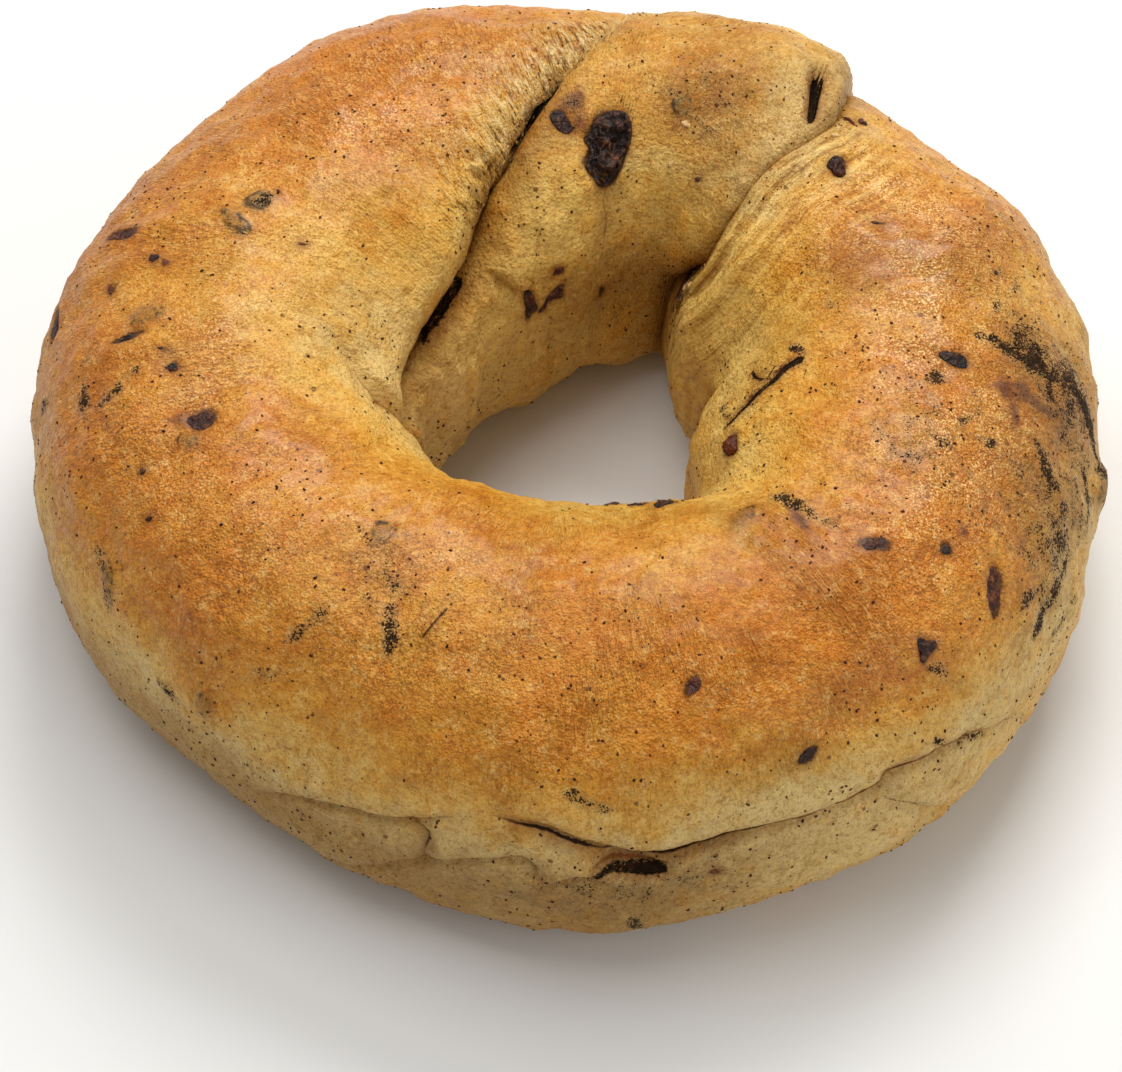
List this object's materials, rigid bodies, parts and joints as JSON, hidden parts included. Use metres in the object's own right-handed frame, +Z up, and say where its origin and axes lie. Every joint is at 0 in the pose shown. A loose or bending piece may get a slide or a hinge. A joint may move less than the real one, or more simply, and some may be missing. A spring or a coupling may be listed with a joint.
{
  "type": "bagel",
  "caption": "Glossy cinnamon-raisin bagel: a rope of dough closed to an uneven ring, its end piece pressed between the limbs at the back, with raisins bedded in the crust.",
  "frame": {"origin": "on the surface it lies on, under the middle of the bagel's box", "axes": "+Z up out of the flat base, the bagel's shortest extent; +Y towards the back, where the rope's end piece is pressed between the limbs; +X to the right seen from the front"},
  "size_m": [0.109, 0.1062, 0.0368],
  "materials": {
    "crust": "baked bread crust, golden orange-brown and satin-glossy on top, pale greenish tan at the sides and in the folds, with fine blisters and dark cinnamon grains",
    "raisin": "dark brown-purple wrinkled raisin skin, slightly sticky sheen"
  },
  "bodies": {
    "root": {"dough": "crust", "raisin_big": "raisin", "raisin_by_big": "raisin", "raisin_end_piece": "raisin", "raisin_front": "raisin", "raisin_front_right": "raisin", "raisin_hole_left": "raisin", "raisin_hole_mid": "raisin", "raisin_hole_right": "raisin", "raisin_left_edge": "raisin", "raisin_left_pit": "raisin", "raisin_left_side": "raisin", "raisin_left_top": "raisin", "raisin_right_back": "raisin", "raisin_right_crest": "raisin", "raisin_right_front": "raisin", "raisin_right_hole": "raisin", "raisin_right_long": "raisin", "raisin_right_top": "raisin", "raisin_seam": "raisin", "raisin_torn_left": "raisin", "raisin_torn_mid": "raisin", "raisin_torn_top": "raisin"}
  },
  "joints": []
}
